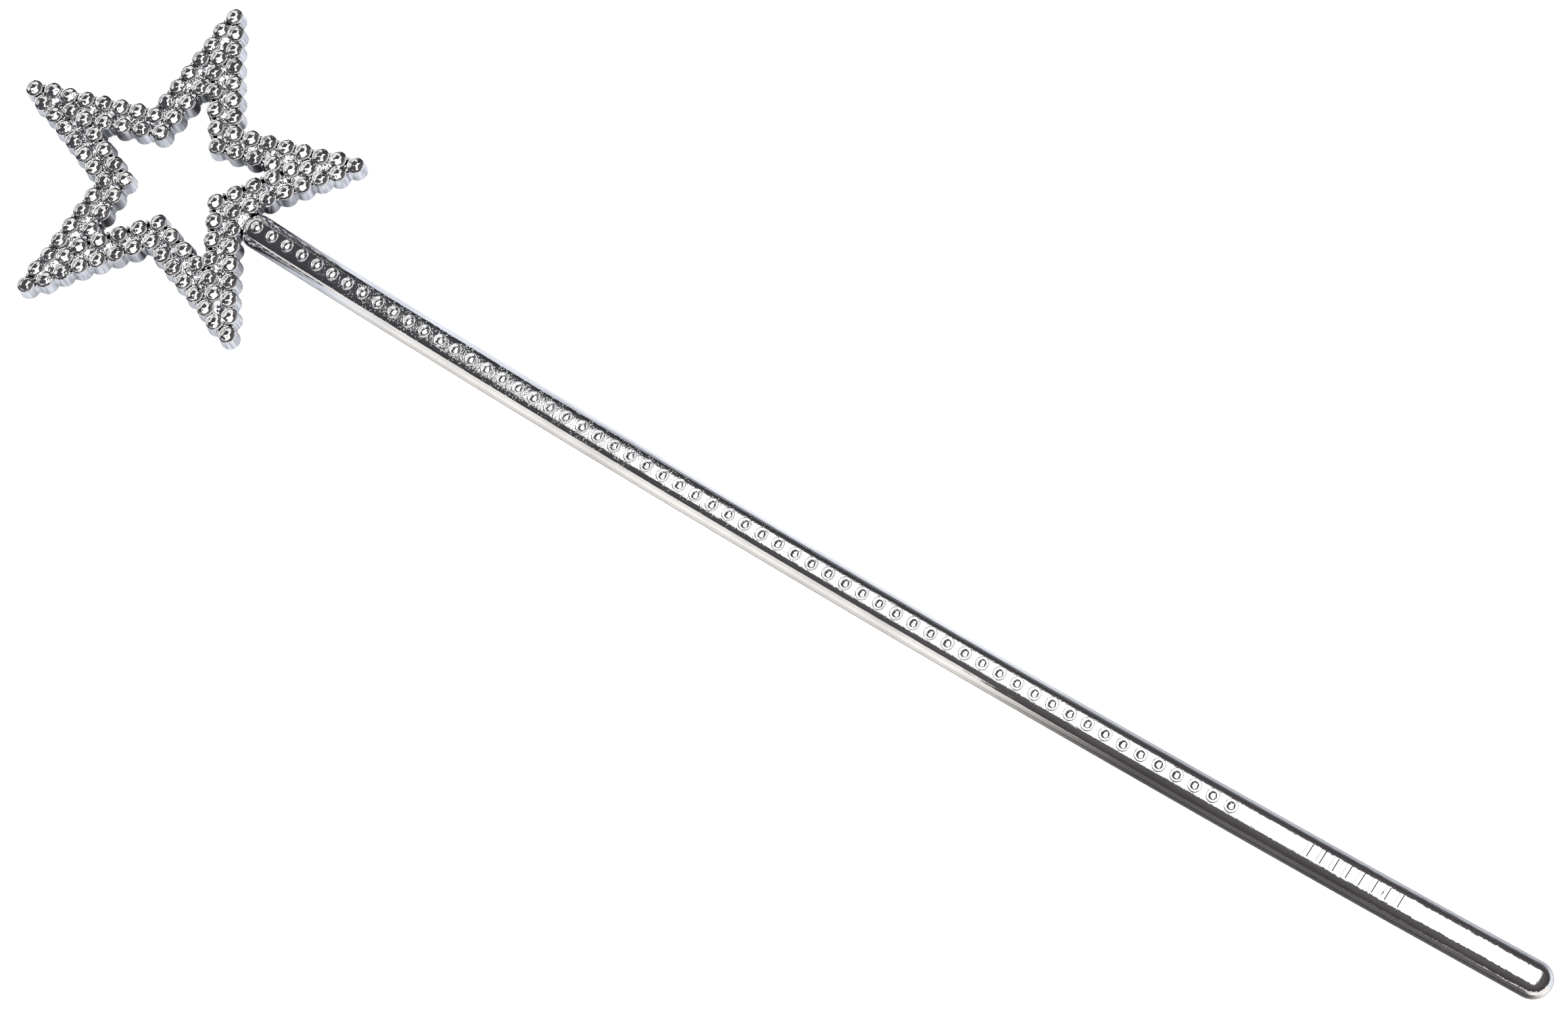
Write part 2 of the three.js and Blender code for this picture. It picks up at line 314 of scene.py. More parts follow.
# %% Star outlines and plates
def star_corners(tip_radius, notch_radius, inset=0.0):
    """A ten-cornered star whose sides run inset inside the line through both radii."""
    square = tip_radius**2 + notch_radius**2 - 2 * tip_radius * notch_radius * math.cos(HALF_ARM)
    side = math.sqrt(square)
    tip_reach = tip_radius - inset * side / (notch_radius * math.sin(HALF_ARM))
    notch_reach = notch_radius - inset * side / (tip_radius * math.sin(HALF_ARM))
    corners = []
    for arm in range(ARMS):
        corners.append(polar(notch_reach, 2 * arm * HALF_ARM))
        corners.append(polar(tip_reach, (2 * arm + 1) * HALF_ARM))
    return corners


def star_ring(shape, outside, inside, low, high):
    """A star-shaped plate with a star-shaped opening, from low to high."""
    levels = []
    for height in (low, high):
        lift = star_middle + Vector((0, 0, height))
        for line in (outside, inside):
            levels.append([shape.verts.new(lift + corner) for corner in line])
    low_out, low_in, high_out, high_in = levels
    for i in range(len(outside)):
        after = (i + 1) % len(outside)
        shape.faces.new((low_out[i], low_out[after], high_out[after], high_out[i]))
        shape.faces.new((low_in[after], low_in[i], high_in[i], high_in[after]))
        shape.faces.new((high_out[i], high_out[after], high_in[after], high_in[i]))
        shape.faces.new((low_out[after], low_out[i], low_in[i], low_in[after]))


# %% [markdown]
# ## Beads between the studs
# Small posts with beaded tops, like the grains that a jeweller raises to hold stones, stand on both
# sides of the line between neighbouring studs. A place is kept only if it is clear of every stud and
# of the beads that are already there.

# %% Places of the beads
BEAD_SIDES = 12
BEAD_OUTLINE = [(0.37, 0.1), (0.35, 2.72), (0.33, 2.86), (0.27, 2.98), (0.18, 3.05), (0.07, 3.08)]
NEIGHBOUR_REACH = 4.5 * MM
BEAD_OFFSET = 0.88 * MM
BEAD_SPACING = 0.6 * MM
STUD_ROOM = 2.0 * MM


def bead_places():
    """Two places beside the line between each pair of neighbouring studs, where there is room."""
    places = []
    for i, first in enumerate(stud_places):
        for second in stud_places[:i]:
            apart = second - first
            if apart.length > NEIGHBOUR_REACH:
                continue
            across = Vector((-apart.y, apart.x, 0)).normalized() * BEAD_OFFSET
            for place in ((first + second) / 2 + across, (first + second) / 2 - across):
                clear = all((place - stud).length > STUD_ROOM for stud in stud_places)
                if clear and all((place - other).length > BEAD_SPACING for other in places):
                    places.append(place)
    return places


beads = bead_places()
print(len(beads), "beads between the studs")

# %% [markdown]
# ## Groups that stand clear
# Neighbouring barrels run into each other at the foot. One mesh made of overlapping barrels would
# not be a proper solid, and a boolean for each stud would be slow. So the places are sorted into a
# few groups whose members don't touch, and each group is joined to the web in one boolean.


# %% Sort places into groups
def groups_apart(places, distance):
    """Sorts places into as few groups as it can, with no two in a group nearer than distance."""
    groups = []
    for index, place in enumerate(places):
        for group in groups:
            if all((place - places[other]).length > distance for other in group):
                group.append(index)
                break
        else:
            groups.append([index])
    return groups


def join_turned(piece, places, distance, outline, sides, name):
    """Joins a turned shape to piece at every place, one group of clear places after another."""
    groups = groups_apart(places, distance)
    for group in groups:
        shape = bmesh.new()
        for index in group:
            turned(shape, in_metres(outline), star_middle + places[index], sides)
        combine(piece, as_object(shape, name), "UNION")
    return len(groups)


# %% [markdown]
# ## The star's front moulding
# Now the star comes together: the web first, then barrels, beads and stones. Last, the recess that
# the back strip fills is cut out from behind.

# %% Build the star's front
WEB_TOP = 2.0 * MM
REBATE_DEPTH = 1.3 * MM
REBATE_INSET = 0.3 * MM
BARREL_ROOM = 0.1 * MM
BEAD_ROOM = 0.8 * MM
CUTTER_OVERRUN = 1 * MM

outer_line = star_corners(STAR_TIP, STAR_NOTCH)
opening_line = star_corners(OPENING_TIP, OPENING_NOTCH)
web = bmesh.new()
star_ring(web, outer_line, opening_line, 0, WEB_TOP)
star_front = as_object(web, "star_studded_front")
stud_gap = 2 * BARREL_FOOT + BARREL_ROOM
stud_groups = join_turned(star_front, stud_places, stud_gap, BARREL_OUTLINE, BARREL_SIDES, "barrels")
join_turned(star_front, beads, BEAD_ROOM, BEAD_OUTLINE, BEAD_SIDES, "posts")
stones = bmesh.new()
for index, place in enumerate(stud_places):
    add_stone(stones, star_stone, star_middle + place, STONE_SHOULDER * MM, index)
combine(star_front, as_object(stones, "stones"), "UNION")
rebate = bmesh.new()
rebate_outer = star_corners(STAR_TIP, STAR_NOTCH, REBATE_INSET)
rebate_opening = star_corners(OPENING_TIP, OPENING_NOTCH, -REBATE_INSET)
star_ring(rebate, rebate_outer, rebate_opening, -CUTTER_OVERRUN, REBATE_DEPTH)
combine(star_front, as_object(rebate, "rebate"), "DIFFERENCE")
print(stud_groups, "groups of studs;", len(star_front.data.polygons), "faces in the star's front")

# %% [markdown]
# ## The rod's line
# The rod is not quite straight: it bows sideways towards the handle, and it thickens a little on the
# way. Two small functions say where its middle is and how thick it is at any place, and everything
# on the rod asks them.

# %% The rod's middle line and radius
ROD_STAR_RADIUS = 3.55 * MM
ROD_HANDLE_RADIUS = 3.75 * MM
ROD_SWEEP = 8.5 * MM


def sweep_at(x):
    """How far the rod's middle line has bowed sideways at x."""
    return ROD_SWEEP * max(0.0, (x - rod_start) / ROD_LENGTH) ** 2


def rod_radius_at(x):
    return ROD_STAR_RADIUS + (ROD_HANDLE_RADIUS - ROD_STAR_RADIUS) * (x - rod_start) / ROD_LENGTH


def rod_middle_at(x):
    return Vector((x, star_middle.y + sweep_at(x), flat_back))


print(f"the handle end lies {sweep_at(rod_end) / MM:.1f} mm to the side")

# %% [markdown]
# ## The rod as a tube
# The rod is a long bar with two half-ball ends. A curve with a round bevel could make it, but not
# its growing thickness and round ends in one closed skin. Rings of corners laid along the bowed line
# can, and the same function with a wall's thickness taken off gives the hollow inside.

# %% Build a bar and a tube
ROD_WALL = 1.2 * MM
ROD_END_WALL = 3.0 * MM
ROD_SIDES = 96
END_STEPS = 16
STRAIGHT_STEPS = 120


def bar_stations(start, start_radius, end, end_radius):
    """Places along a round-ended bar with the radius at each, from one end to the other."""
    end_angles = [math.pi / 2 * i / END_STEPS for i in range(1, END_STEPS + 1)]
    stations = []
    for a in end_angles:
        stations.append((start + start_radius * (1 - math.cos(a)), start_radius * math.sin(a)))
    straight = end - start - start_radius - end_radius
    for i in range(1, STRAIGHT_STEPS):
        share = i / STRAIGHT_STEPS
        radius = start_radius + (end_radius - start_radius) * share
        stations.append((start + start_radius + straight * share, radius))
    for a in reversed(end_angles):
        stations.append((end - end_radius * (1 - math.cos(a)), end_radius * math.sin(a)))
    return stations


def bowed_bar(shape, inset, start, end):
    """A round-ended bar on the rod's middle line, inset from the rod's outside."""
    start_radius, end_radius = rod_radius_at(start) - inset, rod_radius_at(end) - inset
    angles = [2 * math.pi * i / ROD_SIDES for i in range(ROD_SIDES)]
    rings = []
    for x, radius in bar_stations(start, start_radius, end, end_radius):
        round_middle = [(0, radius * math.cos(a), radius * math.sin(a)) for a in angles]
        rings.append([rod_middle_at(x) + Vector(place) for place in round_middle])
    rings_to_shell(shape, rings)


def rod_tube(name):
    """The whole rod as one closed tube with a hollow inside."""
    outer = bmesh.new()
    bowed_bar(outer, 0.0, rod_start, rod_end)
    tube = as_object(outer, name)
    inner = bmesh.new()
    bowed_bar(inner, ROD_WALL, rod_start + ROD_END_WALL, rod_end - ROD_WALL)
    combine(tube, as_object(inner, "hollow"), "DIFFERENCE")
    return tube


# %% [markdown]
# ## The rod's two halves
# The tube is split along its middle plane into a front and a back moulding, with a hair-line seam
# between them. Cutting both from the same tube makes the halves meet exactly all the way along.

# %% Split the tube
SEAM = 0.06 * MM
CUTTER_REACH = 20 * MM


def block(low, high, name):
    """A plain box from one corner to the other, used only as a cutter or a tongue."""
    corners = ((low[0], low[1]), (high[0], low[1]), (high[0], high[1]), (low[0], high[1]))
    shape = bmesh.new()
    rings_to_shell(shape, [[Vector((x, y, z)) for x, y in corners] for z in (low[2], high[2])])
    return as_object(shape, name)


def half_space(low_z, high_z, name):
    """A cutter round the whole rod and its bow, between two heights."""
    low = (rod_start - CUTTER_REACH, -CUTTER_REACH, low_z)
    high = (rod_end + CUTTER_REACH, 2 * CUTTER_REACH, high_z)
    return block(low, high, name)


rod_front = rod_tube("rod_front_half")
rod_back = rod_tube("rod_back_half")
combine(rod_front, half_space(-CUTTER_REACH, flat_back, "below"), "DIFFERENCE")
combine(rod_back, half_space(flat_back - SEAM, flat_back + CUTTER_REACH, "above"), "DIFFERENCE")
print("rod halves:", len(rod_front.data.polygons), len(rod_back.data.polygons), "faces")

# %% [markdown]
# ## Studs along the rod
# Sixty small set stones run along the crown at an even pitch. Each is a low turned bezel with a
# ground stone in it, like a smaller copy of the star's studs, so the same helpers make them. Heights
# here are measured from the rod's crown.

# %% Build the rod's studs
ROD_STUDS = 60
ROD_STUD_PITCH = 3.8 * MM
ROD_STUD_INSET = 4.1 * MM
BEZEL_SIDES = 40
BEZEL_OUTLINE = [
    (1.45, -0.6), (1.39, -0.2), (1.36, -0.06), (1.31, 0.03), (1.24, 0.09),
    (1.16, 0.11), (1.08, 0.09), (1.02, 0.02), (0.99, -0.2),
]
ROD_STONE_FLATS = [
    (192, 13, 0.6), (106, 28, 0.7), (182, 27, 0.65), (-48, 20, 0.75), (20, 38, 0.8), (228, 34, 0.55),
]
rod_stone = ground_stone("rod_stone", 0.93, -0.4, -0.03, 0.34, ROD_STONE_FLATS)


def crown_at(x):
    """Top of the rod over its middle plane, which falls away at the round ends."""
    radius = rod_radius_at(x)
    into_end = max(0.0, radius - min(x - rod_start, rod_end - x))
    return math.sqrt(radius**2 - into_end**2)


bezels, rod_stones = bmesh.new(), bmesh.new()
for index in range(ROD_STUDS):
    x = rod_start + ROD_STUD_INSET + index * ROD_STUD_PITCH
    crown = rod_middle_at(x) + Vector((0, 0, crown_at(x)))
    turned(bezels, in_metres(BEZEL_OUTLINE), crown, BEZEL_SIDES)
    add_stone(rod_stones, rod_stone, crown, 0.0, index + len(stud_places))
combine(rod_front, as_object(bezels, "bezels"), "UNION")
combine(rod_front, as_object(rod_stones, "rod_stones"), "UNION")
print(ROD_STUDS, "studs on the rod;", len(rod_front.data.polygons), "faces in the front half")

# %% [markdown]
# ## A row of grip bars
# Near the handle's end a row of plain low bars crosses the crown. Each is a short piece of a pipe
# slightly thicker than the rod, with sloping ends, so that it follows the rod's round surface.

# %% Build the grip bars
GRIP_BARS = 8
GRIP_START = rod_start + 243.6 * MM
GRIP_PITCH = 2.65 * MM
GRIP_BAR_LENGTH = 1.25 * MM
GRIP_SLOPE_LENGTH = 0.3 * MM
GRIP_HEIGHT = 0.16 * MM
GRIP_FOOT = -0.05 * MM
GRIP_ROOT = 0.6 * MM
GRIP_HALF_ANGLE = math.radians(22)
GRIP_TOP_SHARE = 0.9
ARC_STEPS = 12


def arc_ring(x, radius_in, radius_out, half_angle):
    """Corners of a curved strip across the rod at one place along it."""
    steps = [half_angle * (2 * i / ARC_STEPS - 1) for i in range(ARC_STEPS + 1)]
    outside = [Vector((0, radius_out * math.sin(a), radius_out * math.cos(a))) for a in steps]
    steps.reverse()
    inside = [Vector((0, radius_in * math.sin(a), radius_in * math.cos(a))) for a in steps]
    return [rod_middle_at(x) + corner for corner in outside + inside]


def add_grip_bar(shape, start):
    """One bar: its low ends slope up to a raised top that is a little narrower across the rod."""
    radius = rod_radius_at(start)
    slope = [(0.0, GRIP_FOOT, 1.0), (GRIP_SLOPE_LENGTH, GRIP_HEIGHT, GRIP_TOP_SHARE)]
    far_slope = [(GRIP_BAR_LENGTH - along, lift, share) for along, lift, share in reversed(slope)]
    rings = []
    for along, lift, share in slope + far_slope:
        half_angle = GRIP_HALF_ANGLE * share
        rings.append(arc_ring(start + along, radius - GRIP_ROOT, radius + lift, half_angle))
    rings_to_shell(shape, rings)


bars = bmesh.new()
for index in range(GRIP_BARS):
    add_grip_bar(bars, GRIP_START + index * GRIP_PITCH)
combine(rod_front, as_object(bars, "grip_bars"), "UNION")
print(GRIP_BARS, "grip bars on the handle")

# %% [markdown]
# ## Where the star meets the rod
# The rod's round end nests against the notch stud and its two neighbours, so their barrels, a little
# enlarged, are scooped out of the end of the front half. A short tongue from the star runs into the
# rod through a slot, as in the CAD.

# %% Scoops and tongue
CLEARANCE = 0.3 * MM
NEST_GAP = 0.12 * MM
TONGUE_WIDTH = 3.0 * MM
TONGUE_THICKNESS = 1.45 * MM
TONGUE_REACH = 12.5 * MM
SCOOP_LOW, SCOOP_HIGH = -1 * MM, 8 * MM

notch_stud = polar(STAR_NOTCH, 0)
nesting = [notch_stud]
for side in (-1, 1):
    nesting.append(notch_stud.lerp(polar(STAR_TIP, side * HALF_ARM), 1 / OUTER_STEPS))
scoop_radius = BARREL_FOOT + NEST_GAP
scoop_outline = [(scoop_radius, SCOOP_LOW), (scoop_radius, SCOOP_HIGH)]
for place in nesting:
    scoop = bmesh.new()
    turned(scoop, scoop_outline, star_middle + place, BARREL_SIDES)
    combine(rod_front, as_object(scoop, "scoop"), "DIFFERENCE")
tongue_end = rod_start + TONGUE_REACH
tongue_top = flat_back + TONGUE_THICKNESS
half_slot = TONGUE_WIDTH / 2 + CLEARANCE
slot_low = (rod_start - CUTTER_REACH, -half_slot, flat_back - CUTTER_OVERRUN)
slot_high = (tongue_end + CLEARANCE, half_slot, tongue_top + CLEARANCE)
combine(rod_front, block(slot_low, slot_high, "slot"), "DIFFERENCE")
tongue_low = (star_middle.x + STAR_NOTCH, -TONGUE_WIDTH / 2, flat_back)
tongue_high = (tongue_end, TONGUE_WIDTH / 2, tongue_top)
combine(star_front, block(tongue_low, tongue_high, "tongue"), "UNION")
print("the rod's end is scooped for", len(nesting), "studs")

# %% [markdown]
# ## The strip behind the star
# The back of the star is closed by a flat strip in a recess. It is the same star-shaped ring, a
# little narrower, with its edges rounded by a bevel so that they catch the light.

# %% Build the back strip
STRIP_GAP = 0.1 * MM
STRIP_TOP = 1.0 * MM
STRIP_ROUNDING = 0.15 * MM

inset = REBATE_INSET + STRIP_GAP
strip = bmesh.new()
strip_outer = star_corners(STAR_TIP, STAR_NOTCH, inset)
strip_opening = star_corners(OPENING_TIP, OPENING_NOTCH, -inset)
star_ring(strip, strip_outer, strip_opening, 0, STRIP_TOP)
star_back = as_object(strip, "star_back_strip")
rounding = star_back.modifiers.new("rounded_edges", "BEVEL")
rounding.width = STRIP_ROUNDING
rounding.segments = 3
rounding.limit_method = "ANGLE"
apply_modifiers(star_back)
print(len(star_back.data.polygons), "faces in the strip")

# %% [markdown]
# ## Smooth and sharp
# Round surfaces must shade smoothly, and the stones' facets must stay crisp. Blender does both from
# one angle: edges that turn by more than it stay sharp.

# %% Shade by angle
FACET_ANGLE = math.radians(16)
for piece in (star_front, rod_front, star_back, rod_back):
    piece.data.shade_smooth()
    piece.data.set_sharp_from_angle(angle=FACET_ANGLE)
print("edges sharper than", round(math.degrees(FACET_ANGLE)), "degrees stay crisp")

# %% [markdown]
# ## Short words for shader nodes
# Materials are built from nodes, and wiring each one by hand hides the idea under the plumbing.
# Each helper adds a node or two and gives back an output, so that a mask reads like a formula:
# product of masks, total of heights, or the opposite of a mask.


# %% Node helpers: numbers and masks
def wire(tree, value, socket):
    """Sets a socket to a number or links it to another node's output."""
    if isinstance(value, (int, float)):
        socket.default_value = value
    else:
        tree.links.new(value, socket)


def math_node(tree, operation, first, second, clamp=False):
    node = tree.nodes.new("ShaderNodeMath")
    node.operation = operation
    node.use_clamp = clamp
    wire(tree, first, node.inputs[0])
    wire(tree, second, node.inputs[1])
    return node.outputs[0]


def product(tree, first, *others):
    for other in others:
        first = math_node(tree, "MULTIPLY", first, other)
    return first


def total(tree, first, *others):
    for other in others:
        first = math_node(tree, "ADD", first, other)
    return first


def opposite(tree, mask):
    """1 where the mask is 0, and 0 where it is 1."""
    return math_node(tree, "SUBTRACT", 1.0, mask)


def between(tree, value, low, high):
    """Eases value from 0 at low to 1 at high."""
    node = tree.nodes.new("ShaderNodeMapRange")
    node.interpolation_type = "SMOOTHSTEP"
    node.inputs["From Min"].default_value = low
    node.inputs["From Max"].default_value = high
    tree.links.new(value, node.inputs["Value"])
    return node.outputs["Result"]


def band(tree, value, start, full, fade, end):
    """1 from full to fade, easing to 0 at start and at end."""
    leaving = between(tree, value, fade, end)
    return product(tree, between(tree, value, start, full), opposite(tree, leaving))


# %% [markdown]
# ## Textures and colours
# Textures ask for a place, so they are fed the object's own coordinates and stay on the piece.


# %% Node helpers: textures and colours
def noise(tree, place, scale, detail=2.0, roughness=0.5):
    """A noise texture; gives its grey output."""
    node = tree.nodes.new("ShaderNodeTexNoise")
    node.inputs["Detail"].default_value = detail
    node.inputs["Roughness"].default_value = roughness
    tree.links.new(place, node.inputs["Vector"])
    wire(tree, scale, node.inputs["Scale"])
    return node.outputs[0]


def cell_distance(tree, place, scale):
    """Distance to the middle of the nearest cell of a Voronoi texture."""
    node = tree.nodes.new("ShaderNodeTexVoronoi")
    tree.links.new(place, node.inputs["Vector"])
    wire(tree, scale, node.inputs["Scale"])
    return node.outputs["Distance"]


def stretched(tree, place, scale, turn=0.0):
    """Coordinates scaled differently along each axis, which draws a texture out into lines."""
    node = tree.nodes.new("ShaderNodeMapping")
    node.inputs["Rotation"].default_value = (0.0, 0.0, turn)
    node.inputs["Scale"].default_value = scale
    tree.links.new(place, node.inputs["Vector"])
    return node.outputs[0]


def split(tree, vector):
    """The X, Y and Z outputs of a vector."""
    node = tree.nodes.new("ShaderNodeSeparateXYZ")
    tree.links.new(vector, node.inputs[0])
    return node.outputs


def blend(tree, factor, first, second):
    """Mixes two colours, each a tuple or another node's output."""
    node = tree.nodes.new("ShaderNodeMix")
    node.data_type = "RGBA"
    for colour, socket in ((first, node.inputs["A"]), (second, node.inputs["B"])):
        if isinstance(colour, tuple):
            socket.default_value = (*colour, 1.0)
        else:
            tree.links.new(colour, socket)
    tree.links.new(factor, node.inputs["Factor"])
    return node.outputs["Result"]


# %% [markdown]
# ## Shared surface effects
# Metallised plastic looks like a mirror with small faults. An effect that every finish uses is a
# node group, which is built once and placed in each material with its own values. Scales count
# features per metre, so 1000 means one feature a millimetre.


# %% A helper for node groups
def new_group(name, inputs, output):
    """An empty group; inputs are (name, default) pairs, and a default of None means a vector."""
    group = bpy.data.node_groups.new(name, "ShaderNodeTree")
    for title, default in inputs:
        kind = "NodeSocketVector" if default is None else "NodeSocketFloat"
        socket = group.interface.new_socket(title, in_out="INPUT", socket_type=kind)
        if default is not None:
            socket.default_value = default
    group.interface.new_socket(output, in_out="OUTPUT", socket_type="NodeSocketFloat")
    entry, leave = group.nodes.new("NodeGroupInput"), group.nodes.new("NodeGroupOutput")
    return group, entry.outputs, leave.inputs[output]


# %% [markdown]
# ## Waves
# A moulding is never quite flat: its skin has long, low waves where it shrank, and the lacquer under
# the metal adds a fine orange-peel grain. Two noises, one slow and one fast, give a height for both.

# %% Group: moulding waves
wave_inputs = [("Place", None), ("Wave Scale", 260.0), ("Grain Scale", 3200.0), ("Grain Share", 0.12)]
waves, given, leave = new_group("moulding_waves", wave_inputs, "Height")
long_wave = noise(waves, given["Place"], given["Wave Scale"], detail=1.5)
grain = noise(waves, given["Place"], given["Grain Scale"])
wave_total = total(waves, long_wave, product(waves, grain, given["Grain Share"]))
waves.links.new(wave_total, leave)
print("group:", waves.name)

# %% [markdown]
# ## Scratches
# Handling leaves fine, nearly parallel scratches that come in patches. A noise stretched far more
# one way than the other makes lines, and a second, slow noise keeps them to patches.

# %% Group: handling scratches
SCRATCH_TURN = 0.5
scratches, given, leave = new_group("handling_scratches", [("Place", None), ("Amount", 1.0)], "Mask")
scratch_lines = stretched(scratches, given["Place"], (260.0, 5200.0, 2600.0), SCRATCH_TURN)
lines = between(scratches, noise(scratches, scratch_lines, 1.0, detail=1.0), 0.62, 0.72)
patches = between(scratches, noise(scratches, given["Place"], 120.0), 0.45, 0.65)
scratches.links.new(product(scratches, lines, patches, given["Amount"]), leave)
print("group:", scratches.name)

# %% [markdown]
# ## Specks
# Dust caught under the coat shows as tiny dull specks. The middles of a cell texture's cells are
# scattered dots already, and a slow noise thins them out.

# %% Group: caught specks
speck_inputs = [("Place", None), ("Speck Scale", 900.0), ("Speck Size", 0.16)]
specks, given, leave = new_group("caught_specks", speck_inputs, "Mask")
speck_distance = cell_distance(specks, given["Place"], given["Speck Scale"])
near = math_node(specks, "LESS_THAN", speck_distance, given["Speck Size"])
spots = between(specks, noise(specks, given["Place"], 150.0), 0.52, 0.66)
specks.links.new(product(specks, near, spots), leave)
print("group:", specks.name)

# %% [markdown]
# ## Relief of the star
# Two marks belong to the star alone. Its upright walls slid out of the mould, which drew fine
# vertical lines on them and left the coat dull in streaks. Its low web between the studs is
# hammered, so that it sparkles and doesn't lie dark. A relief is a function that gives a height for
# the Bump node and, where it has one, a mask of dull places. Heights are shares of the finish's own
# wave height.

# %% Star relief
DRAW_SCALE = (1500.0, 1500.0, 60.0)
DRAW_HEIGHT = 1.6
HAMMER_SCALE = 1100.0
HAMMER_HEIGHT = 9.0
STREAK_DULLNESS = 0.85


def star_relief(tree, place, facing):
    """Draw lines on upright walls and a hammered web: a height and a mask of dull places."""
    drawn = noise(tree, stretched(tree, place, DRAW_SCALE), 1.0)
    upward = split(tree, facing)["Z"]
    level = math_node(tree, "SUBTRACT", split(tree, place)["Z"], flat_back)
    above_web = between(tree, level, 2.2 * MM, 2.6 * MM)
    on_web = product(tree, opposite(tree, above_web), between(tree, upward, 0.7, 0.9))
    hammered = product(tree, noise(tree, place, HAMMER_SCALE, detail=1.0), on_web, HAMMER_HEIGHT)
    steepness = math_node(tree, "ABSOLUTE", upward, 0.0)
    upright = opposite(tree, between(tree, steepness, 0.1, 0.35))
    streaks = product(tree, between(tree, drawn, 0.42, 0.62), upright, STREAK_DULLNESS)
    return total(tree, product(tree, drawn, DRAW_HEIGHT), hammered), streaks


# %% [markdown]
# ## Relief of the rod
# The rod's crown is pitted round its studs, its front third is sprayed with tiny pimples, and the
# handle's end is wavier than the rest. In a mirror a slope of a degree or two is enough to make the
# edges of reflections ragged, so all three are low.

# %% Rod relief
PIT_HEIGHT = 1.1
PIMPLE_HEIGHT = 1.3
WAVY_END_HEIGHT = 2.6


def rod_relief(tree, place, facing):
    """Pits, pimples and a wavy end: a height, and no dull places."""
    along = math_node(tree, "SUBTRACT", split(tree, place)["X"], rod_start)
    on_crown = between(tree, split(tree, facing)["Z"], 0.72, 0.93)
    patch = between(tree, noise(tree, place, 45.0), 0.3, 0.55)
    rough = noise(tree, place, 1900.0, detail=3.0, roughness=0.6)
    pits = product(tree, rough, on_crown, patch, PIT_HEIGHT)
    zone = band(tree, along, 12 * MM, 36 * MM, 85 * MM, 150 * MM)
    dots = opposite(tree, between(tree, cell_distance(tree, place, 2600.0), 0.08, 0.4))
    some = between(tree, noise(tree, place, 700.0, detail=1.0), 0.42, 0.55)
    pimples = product(tree, dots, zone, on_crown, some, PIMPLE_HEIGHT)
    wavy_end = between(tree, along, 222 * MM, 262 * MM)
    wavy = noise(tree, place, 420.0, detail=3.0, roughness=0.6)
    return total(tree, pits, pimples, product(tree, wavy, wavy_end, WAVY_END_HEIGHT)), None


# %% [markdown]
# ## The metallised finishes
# The coat is a real metal film, so Metallic is 1 and the colour is silver's. Scratches, specks and
# slow clouds dull the colour and raise the roughness a little, and all heights together drive one
# Bump node. A plain grey mirror would look computed, because no real coat is even.

# %% Finish maker
SCRATCH_WEAR = 0.5
SPECK_WEAR = 0.7
WEAR_HAZE = 0.22
CLOUD_HAZE = 0.04
CLOUD_DULLNESS = 0.35
GRAIN_SHARE = 0.05


def metallised(name, colour, dull_colour, roughness, wave_height, wave_scale, relief=None):
    """A silver coat over moulded plastic, with the relief of one piece added to its waves."""
    material = bpy.data.materials.new(name)
    material.use_nodes = True
    tree = material.node_tree
    coat = tree.nodes["Principled BSDF"]
    coat.inputs["Metallic"].default_value = 1.0
    spot = tree.nodes.new("ShaderNodeTexCoord")
    place = spot.outputs["Object"]

    def use(group, **values):
        node = tree.nodes.new("ShaderNodeGroup")
        node.node_tree = group
        tree.links.new(place, node.inputs["Place"])
        for title, value in values.items():
            node.inputs[title.replace("_", " ")].default_value = value
        return node.outputs[0]

    scratched = product(tree, use(scratches, Amount=1.0), SCRATCH_WEAR)
    speckled = product(tree, use(specks), SPECK_WEAR)
    worn = math_node(tree, "ADD", scratched, speckled, clamp=True)
    cloud = between(tree, noise(tree, place, 90.0, detail=3.0), 0.35, 0.7)
    height = use(waves, Wave_Scale=wave_scale, Grain_Share=GRAIN_SHARE)
    streaks = None
    if relief:
        raised, streaks = relief(tree, place, spot.outputs["Normal"])
        height = total(tree, height, raised)
    dull_places = product(tree, cloud, CLOUD_DULLNESS) if streaks is None else streaks
    dullness = math_node(tree, "ADD", dull_places, worn, clamp=True)
    tree.links.new(blend(tree, dullness, colour, dull_colour), coat.inputs["Base Color"])
    haze = total(tree, product(tree, cloud, CLOUD_HAZE), product(tree, worn, WEAR_HAZE), roughness)
    tree.links.new(haze, coat.inputs["Roughness"])
    bump = tree.nodes.new("ShaderNodeBump")
    bump.inputs["Strength"].default_value = 1.0
    bump.inputs["Distance"].default_value = wave_height
    tree.links.new(height, bump.inputs["Height"])
    tree.links.new(bump.outputs["Normal"], coat.inputs["Normal"])
    return material


# %% [markdown]
# ## Three finishes
# The star and the rod share one silver and differ in their relief. The strip behind the star was
# metallised less carefully, so it is darker and less sharp.

# %% Make the finishes
SILVER = (0.88, 0.885, 0.9)
DULL_SILVER = (0.5, 0.5, 0.53)
STRIP_SILVER = (0.74, 0.745, 0.77)
MIRROR = 0.05
SATIN = 0.14
LOW_WAVES = 0.03 * MM
HIGH_WAVES = 0.04 * MM
star_finish = metallised("star_silver", SILVER, DULL_SILVER, MIRROR, LOW_WAVES, 400.0, star_relief)
rod_finish = metallised("rod_silver", SILVER, DULL_SILVER, MIRROR, HIGH_WAVES, 170.0, rod_relief)
back_finish = metallised("back_silver", STRIP_SILVER, DULL_SILVER, SATIN, LOW_WAVES, 260.0)
print("finishes:", star_finish.name, rod_finish.name, back_finish.name)
